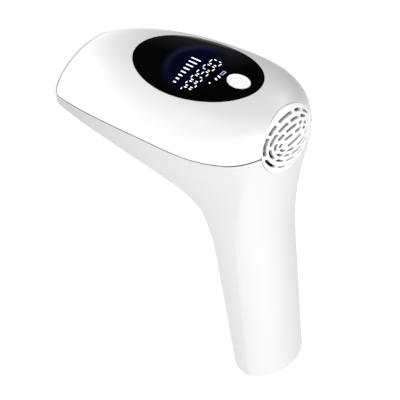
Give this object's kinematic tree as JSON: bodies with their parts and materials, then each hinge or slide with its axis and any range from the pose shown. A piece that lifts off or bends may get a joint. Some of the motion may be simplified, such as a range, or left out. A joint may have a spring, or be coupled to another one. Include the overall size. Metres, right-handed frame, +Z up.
{
  "type": "handheld ipl hair remover",
  "caption": "Gun-shaped handheld IPL hair remover: lamp window at the nose, oval display and round button on top, round air grille at the back, tapering handle with a supply socket.",
  "frame": {"origin": "middle of the handle's flat bottom face", "axes": "+Z up along the handle, -X the way the lamp faces, +X the way the air vent faces, -Y the side that the picture shows"},
  "size_m": [0.1451, 0.0752, 0.184],
  "materials": {
    "boost_transformer": "copper winding",
    "choke": "copper winding",
    "dc_jack": "black moulding",
    "display_board": "green circuit board",
    "display_board_screw_1": "zinc plated",
    "display_board_screw_2": "zinc plated",
    "display_board_screw_3": "zinc plated",
    "display_board_screw_4": "zinc plated",
    "display_gasket": "black foam",
    "display_lead": "black insulation",
    "display_panel": "black, high gloss",
    "end_cap_screw_left": "zinc plated",
    "end_cap_screw_right": "zinc plated",
    "fan_frame": "black moulding",
    "fan_lead": "black insulation",
    "fan_rotor": "black moulding",
    "fan_screw_1": "zinc plated",
    "fan_screw_2": "zinc plated",
    "film_capacitor": "resin block",
    "filter_glass": "amber optical filter",
    "flash_capacitor_lower": "dark blue sleeve",
    "flash_capacitor_upper": "dark blue sleeve",
    "flash_lamp": "clear quartz tube",
    "flash_trigger": "glossy white moulding",
    "handle_end_cap": "satin white moulding",
    "lamp_heatsink": "plain extrusion",
    "lamp_holder_left": "off-white, unglazed",
    "lamp_holder_right": "off-white, unglazed",
    "lamp_lead_left": "black insulation",
    "lamp_lead_right": "red insulation",
    "lcd_module": "dark blue display glass",
    "lower_body": "glossy white moulding",
    "main_board": "green circuit board",
    "main_board_screw_1": "zinc plated",
    "main_board_screw_2": "zinc plated",
    "main_board_screw_3": "zinc plated",
    "main_board_screw_4": "zinc plated",
    "power_board": "green circuit board",
    "power_button": "pale lavender face, satin",
    "power_switch": "black moulding",
    "power_switch_plunger": "black moulding",
    "power_transistor": "black moulding",
    "reflector": "polished",
    "skin_sensor_left": "gold plated",
    "skin_sensor_right": "gold plated",
    "supply_lead": "red insulation",
    "top_cover": "glossy white moulding",
    "transistor_heatsink": "plain extrusion",
    "trigger_board": "green circuit board",
    "trigger_board_screw_1": "zinc plated",
    "trigger_board_screw_2": "zinc plated",
    "trigger_switch": "black moulding",
    "trigger_switch_plunger": "black moulding",
    "trigger_transformer": "resin block",
    "vent_grille": "glossy white moulding",
    "window_frame": "satin white moulding",
    "window_screw_left": "zinc plated",
    "window_screw_right": "zinc plated"
  },
  "bodies": {
    "root": {"boost_transformer": "boost_transformer", "choke": "choke", "dc_jack": "dc_jack", "display_board": "display_board", "display_board_screw_1": "display_board_screw_1", "display_board_screw_2": "display_board_screw_2", "display_board_screw_3": "display_board_screw_3", "display_board_screw_4": "display_board_screw_4", "display_gasket": "display_gasket", "display_lead": "display_lead", "display_panel": "display_panel", "end_cap_screw_left": "end_cap_screw_left", "end_cap_screw_right": "end_cap_screw_right", "fan_frame": "fan_frame", "fan_lead": "fan_lead", "fan_screw_1": "fan_screw_1", "fan_screw_2": "fan_screw_2", "film_capacitor": "film_capacitor", "filter_glass": "filter_glass", "flash_capacitor_lower": "flash_capacitor_lower", "flash_capacitor_upper": "flash_capacitor_upper", "flash_lamp": "flash_lamp", "handle_end_cap": "handle_end_cap", "lamp_heatsink": "lamp_heatsink", "lamp_holder_left": "lamp_holder_left", "lamp_holder_right": "lamp_holder_right", "lamp_lead_left": "lamp_lead_left", "lamp_lead_right": "lamp_lead_right", "lcd_module": "lcd_module", "lower_body": "lower_body", "main_board": "main_board", "main_board_screw_1": "main_board_screw_1", "main_board_screw_2": "main_board_screw_2", "main_board_screw_3": "main_board_screw_3", "main_board_screw_4": "main_board_screw_4", "power_board": "power_board", "power_switch": "power_switch", "power_transistor": "power_transistor", "reflector": "reflector", "skin_sensor_left": "skin_sensor_left", "skin_sensor_right": "skin_sensor_right", "supply_lead": "supply_lead", "top_cover": "top_cover", "transistor_heatsink": "transistor_heatsink", "trigger_board": "trigger_board", "trigger_board_screw_1": "trigger_board_screw_1", "trigger_board_screw_2": "trigger_board_screw_2", "trigger_switch": "trigger_switch", "trigger_transformer": "trigger_transformer", "vent_grille": "vent_grille", "window_frame": "window_frame", "window_screw_left": "window_screw_left", "window_screw_right": "window_screw_right"},
    "power_button": {"power_button": "power_button", "power_switch_plunger": "power_switch_plunger"},
    "flash_trigger": {"flash_trigger": "flash_trigger", "trigger_switch_plunger": "trigger_switch_plunger"},
    "fan_rotor": {"fan_rotor": "fan_rotor"}
  },
  "joints": [
    {"name": "power_button_press", "type": "slide", "parent": "root", "child": "power_button", "axis": [0, 0, -1], "range_m": [0, 0.0006], "stiffness_N_per_m": 2500},
    {"name": "flash_trigger_press", "type": "slide", "parent": "root", "child": "flash_trigger", "axis": [0.9558, 0, 0.2939], "range_m": [0, 0.0012], "stiffness_N_per_m": 2000},
    {"name": "fan_spin", "type": "hinge", "parent": "root", "child": "fan_rotor", "pos_m": [0.015, 0, 0.16], "axis": [1, 0, 0], "continuous": true}
  ]
}
